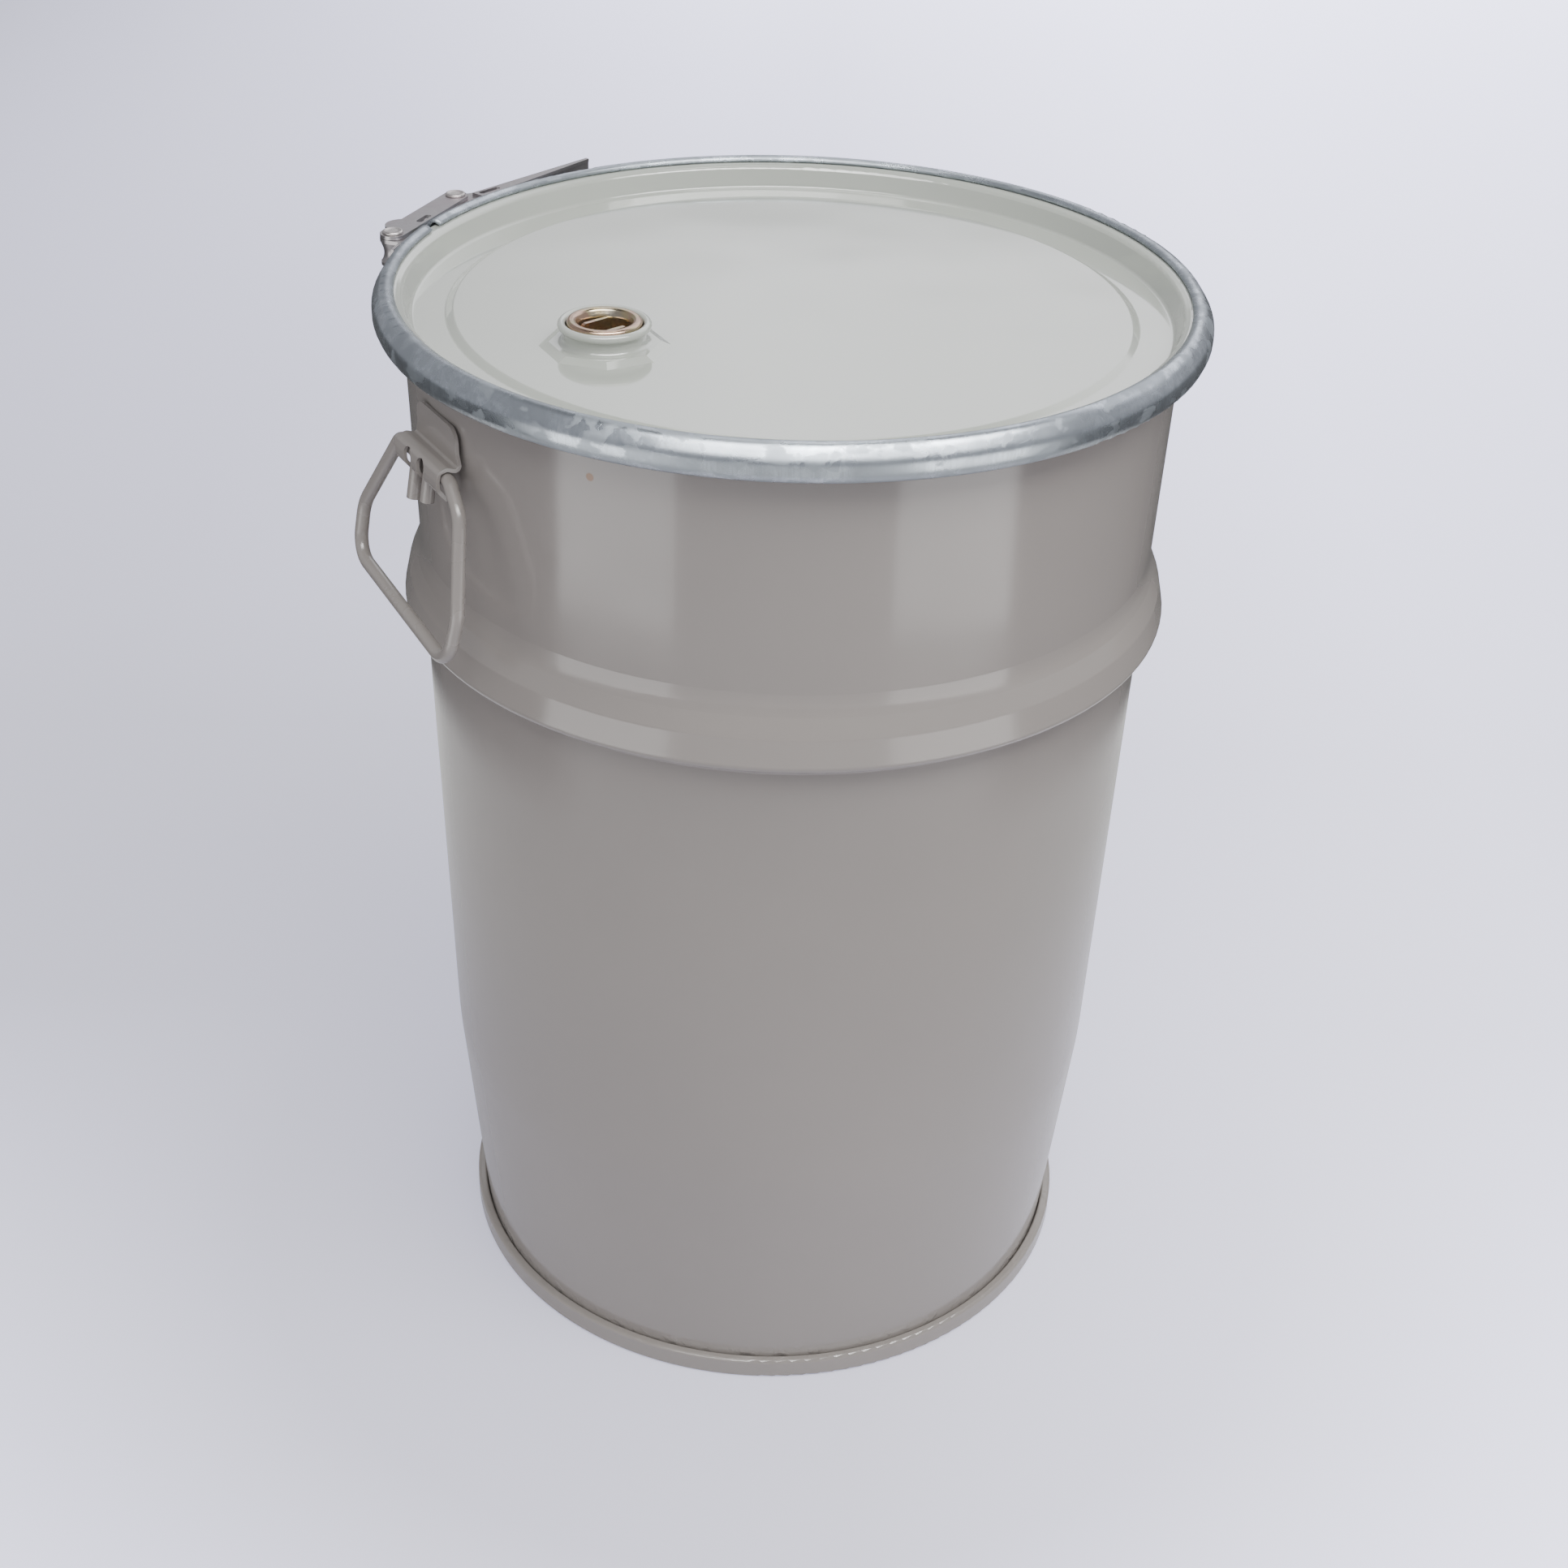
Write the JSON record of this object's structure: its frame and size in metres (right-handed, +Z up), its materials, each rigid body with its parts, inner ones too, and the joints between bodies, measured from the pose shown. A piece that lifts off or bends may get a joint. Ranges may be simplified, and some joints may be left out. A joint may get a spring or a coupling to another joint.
{
  "type": "overpack salvage drum",
  "caption": "Tapered open-head steel salvage drum with a lid, a lever-lock closing ring, a screw bung and hinged bail handles.",
  "frame": {"origin": "centre of the circle the bottom chime stands on, in the resting plane", "axes": "+Z up along the drum's axis; -X towards the bung and the ring's lever lock; +Y completes the right-handed frame"},
  "size_m": [0.4087, 0.4, 0.5605],
  "materials": {
    "body_paint": "glossy warm pebble-grey enamel with runs along the bottom seam",
    "lid_paint": "satin light grey enamel",
    "bracket_paint": "glossy grey enamel over welded steel",
    "galvanised_steel": "galvanised sheet with faint spangle",
    "lock_zinc": "dull zinc plating with a slight purplish tint",
    "rivet_steel": "bright pressed rivet heads",
    "handle_paint": "grey enamel over round wire",
    "insert_zinc": "zinc plated steel",
    "yellow_zinc": "yellow passivated zinc, slightly iridescent",
    "gasket_rubber": "black moulded rubber",
    "sealing_compound": "set seam sealing compound"
  },
  "bodies": {
    "shell": {"drum_shell": "body_paint", "bottom_head": "body_paint", "seam_compound": "sealing_compound", "handle_bracket_left": "bracket_paint", "handle_bracket_right": "bracket_paint"},
    "lid": {"lid": "lid_paint", "lid_gasket": "gasket_rubber", "bung_flange": "insert_zinc", "bung_flange_gasket": "gasket_rubber"},
    "ring": {"clamp_ring": "galvanised_steel", "lever_bracket": "lock_zinc", "link_bracket": "lock_zinc", "lever_pivot_rivet": "rivet_steel"},
    "lever": {"lock_lever": "lock_zinc", "link_lever_rivet": "rivet_steel"},
    "link": {"lock_link": "lock_zinc", "link_bracket_rivet": "rivet_steel"},
    "plug_seal": {"plug_gasket": "gasket_rubber"},
    "plug": {"bung_plug": "yellow_zinc", "plug_wrench_insert": "yellow_zinc"},
    "left_handle": {"bail_handle_left": "handle_paint"},
    "right_handle": {"bail_handle_right": "handle_paint"}
  },
  "joints": [
    {"name": "lid_lift", "type": "slide", "parent": "shell", "child": "lid", "axis": [0, 0, 1], "range_m": [0, 0.25], "deforming": ["clamp_ring"]},
    {"name": "ring_lift", "type": "slide", "parent": "lid", "child": "ring", "axis": [0, 0, 1], "range_m": [0, 0.1], "deforming": ["clamp_ring"]},
    {"name": "lever_turn", "type": "hinge", "parent": "ring", "child": "lever", "pos_m": [-0.18689, 0.09058, 0.5542], "axis": [0, 0, 1], "range_deg": [0, 150]},
    {"name": "link_turn", "type": "hinge", "parent": "lever", "child": "link", "pos_m": [-0.178, 0.11502, 0.5563], "axis": [0, 0, 1], "range_deg": [-140, 0]},
    {"name": "plug_rise", "type": "slide", "parent": "lid", "child": "plug_seal", "axis": [0, 0, 1], "range_m": [0, 0.014]},
    {"name": "plug_turn", "type": "hinge", "parent": "plug_seal", "child": "plug", "pos_m": [-0.0856, -0.0628, 0.55], "axis": [0, 0, 1], "range_deg": [0, 2780]},
    {"name": "left_handle_swing", "type": "hinge", "parent": "shell", "child": "left_handle", "pos_m": [-0.16456, -0.10084, 0.505], "axis": [-0.5225, 0.8526, 0], "range_deg": [-8, 80]},
    {"name": "right_handle_swing", "type": "hinge", "parent": "shell", "child": "right_handle", "pos_m": [0.16456, 0.10084, 0.505], "axis": [0.5225, -0.8526, 0], "range_deg": [0, 88]}
  ],
  "couplings": [
    {"joint": "link_turn", "follows": "lever_turn", "ratio": -0.924},
    {"joint": "plug_turn", "follows": "plug_rise", "rad_per_m": 3463.7}
  ]
}
